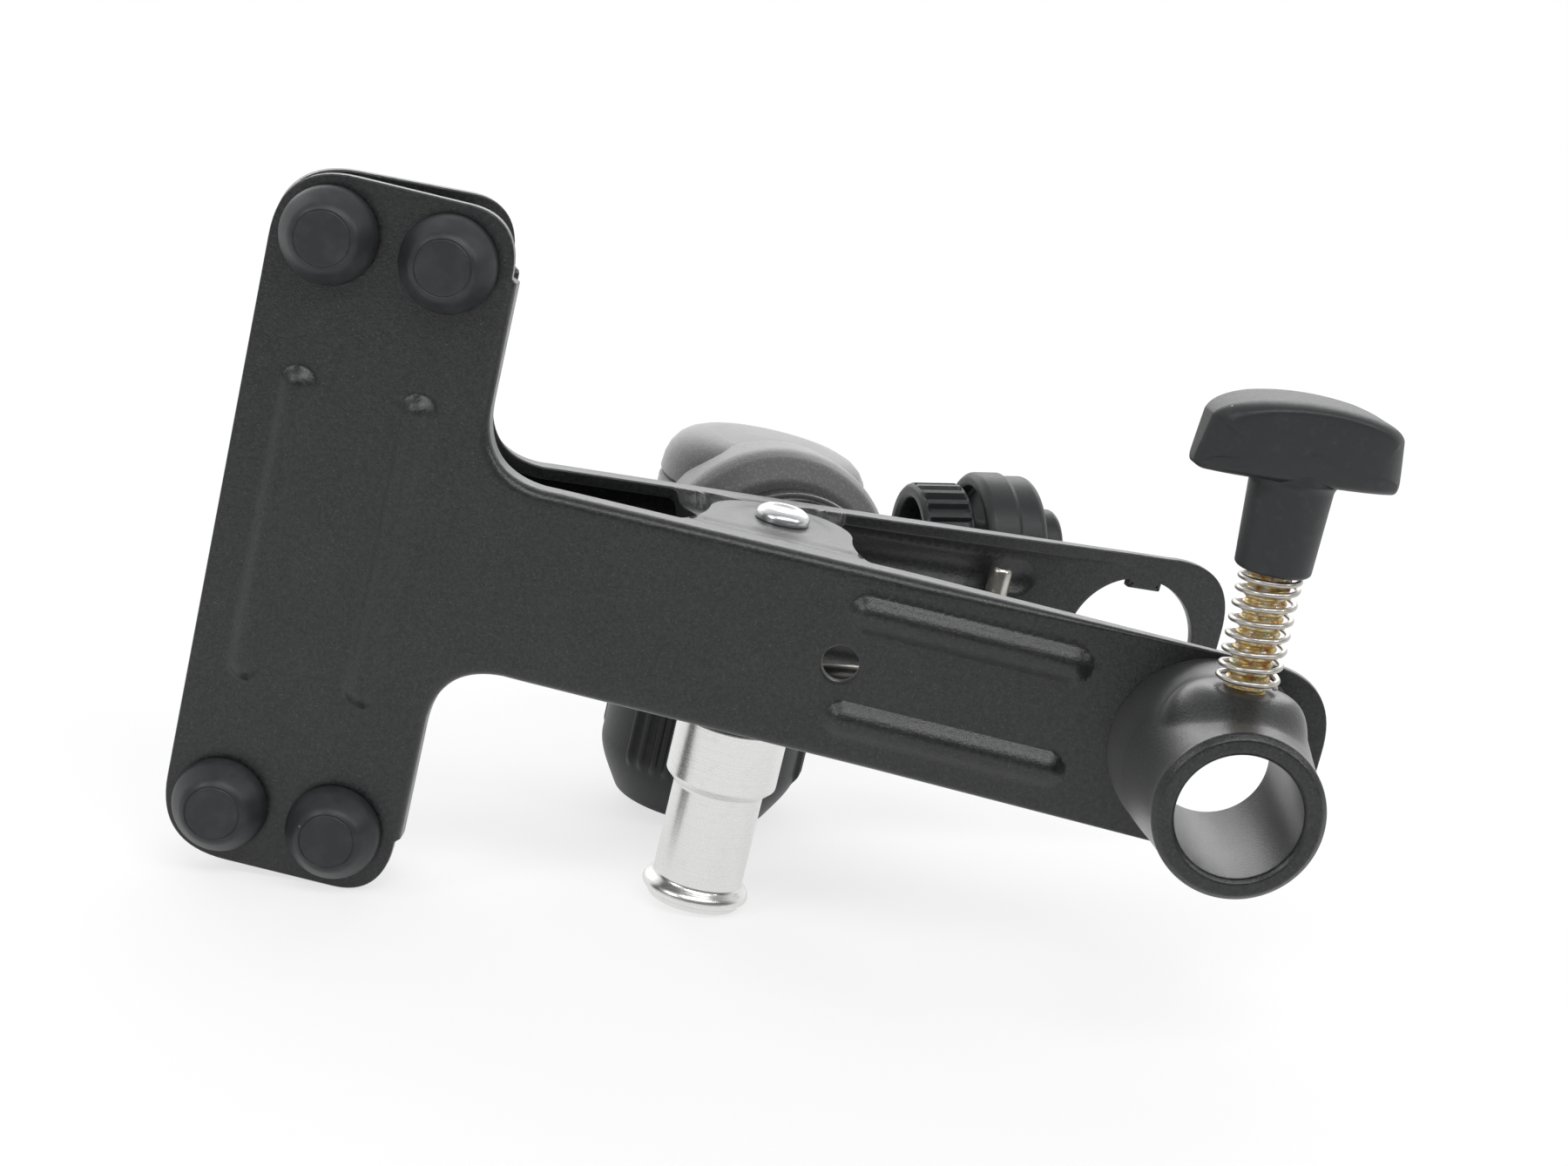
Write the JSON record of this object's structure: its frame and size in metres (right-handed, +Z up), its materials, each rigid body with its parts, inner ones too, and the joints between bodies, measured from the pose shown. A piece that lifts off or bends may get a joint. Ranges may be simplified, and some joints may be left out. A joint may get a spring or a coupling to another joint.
{
  "type": "spring clamp",
  "caption": "Spring clamp with T-shaped sheet-metal jaws, a spigot on the hinge pin, a screw-lock socket tube on one handle and a small ball head on the other.",
  "frame": {"origin": "middle of the bounding box in plan, on the surface that the clamp lies on", "axes": "+X towards the handles, +Y from the front jaw to the rear jaw, +Z up; the clamp lies on its jaw corners, its spigot and its ball head knob, about 6 degrees off level"},
  "size_m": [0.152, 0.1108, 0.0974],
  "materials": {
    "coated_steel": "satin black powder coat with a fine grain",
    "rubber": "matt black rubber",
    "zinc": "bright zinc plate",
    "spring_steel": "drawn spring wire, slightly tarnished",
    "yellow_zinc": "yellow plate with rust spots",
    "aluminium": "turned aluminium, satin",
    "moulded": "black moulded plastic, satin",
    "cast": "sandy matt black paint on a casting",
    "brass": "turned brass"
  },
  "bodies": {
    "front_jaw": {"front_plate": "coated_steel", "front_foot_1": "rubber", "front_foot_2": "rubber", "front_foot_3": "rubber", "front_foot_4": "rubber", "socket_tube": "coated_steel", "hinge_bolt": "zinc", "hinge_sleeve": "zinc", "spigot_washer": "zinc", "spigot": "aluminium", "torsion_spring": "spring_steel", "knob_spring": "spring_steel"},
    "rear_jaw": {"rear_plate": "coated_steel", "rear_foot_1": "rubber", "rear_foot_2": "rubber", "rear_foot_3": "rubber", "rear_foot_4": "rubber", "head_screw": "zinc", "head_base": "moulded", "head_body": "cast", "head_cap": "cast", "head_pad": "brass"},
    "lock_tip": {"lock_tip": "brass"},
    "lock_knob": {"lock_stud": "yellow_zinc", "lock_knob": "moulded"},
    "head_knob": {"head_knob": "moulded", "head_knob_stud": "zinc"},
    "head_ball": {"head_ball": "zinc"},
    "platform": {"head_stem": "zinc", "platform": "moulded", "end_bush": "moulded"},
    "lock_ring": {"lock_ring": "moulded"}
  },
  "joints": [
    {"name": "jaw_hinge", "type": "hinge", "parent": "front_jaw", "child": "rear_jaw", "pos_m": [0.00241, -0.00292, 0.04307], "axis": [-0.0997, 0, -0.995], "range_deg": [0, 30], "stiffness_Nm_per_rad": 2, "springref_deg": -28.65, "deforming": ["torsion_spring"]},
    {"name": "lock_travel", "type": "slide", "parent": "front_jaw", "child": "lock_tip", "axis": [-0.0459, -0.0048, -0.9989], "range_m": [0, 0.004], "deforming": ["knob_spring"]},
    {"name": "lock_turn", "type": "hinge", "parent": "lock_tip", "child": "lock_knob", "pos_m": [0.0612, -0.04145, 0.06628], "axis": [-0.0459, -0.0048, -0.9989], "range_deg": [0, 1440]},
    {"name": "head_knob_turn", "type": "hinge", "parent": "rear_jaw", "child": "head_knob", "pos_m": [0.00143, 0.03706, 0.01301], "axis": [-0.0997, 0, -0.995], "range_deg": [0, 360]},
    {"name": "ball_swing", "type": "hinge", "parent": "rear_jaw", "child": "head_ball", "pos_m": [0.00442, 0.03706, 0.04286], "axis": [0.0997, 0, 0.995], "range_deg": [0, 125]},
    {"name": "ball_spin", "type": "hinge", "parent": "head_ball", "child": "platform", "pos_m": [0.00442, 0.03706, 0.04286], "axis": [0.9839, 0.1737, 0.0413], "continuous": true},
    {"name": "ring_turn", "type": "hinge", "parent": "platform", "child": "lock_ring", "pos_m": [0.03296, 0.04209, 0.04406], "axis": [0.9839, 0.1737, 0.0413], "continuous": true}
  ],
  "couplings": [
    {"joint": "lock_turn", "follows": "lock_travel", "rad_per_m": 6283}
  ]
}
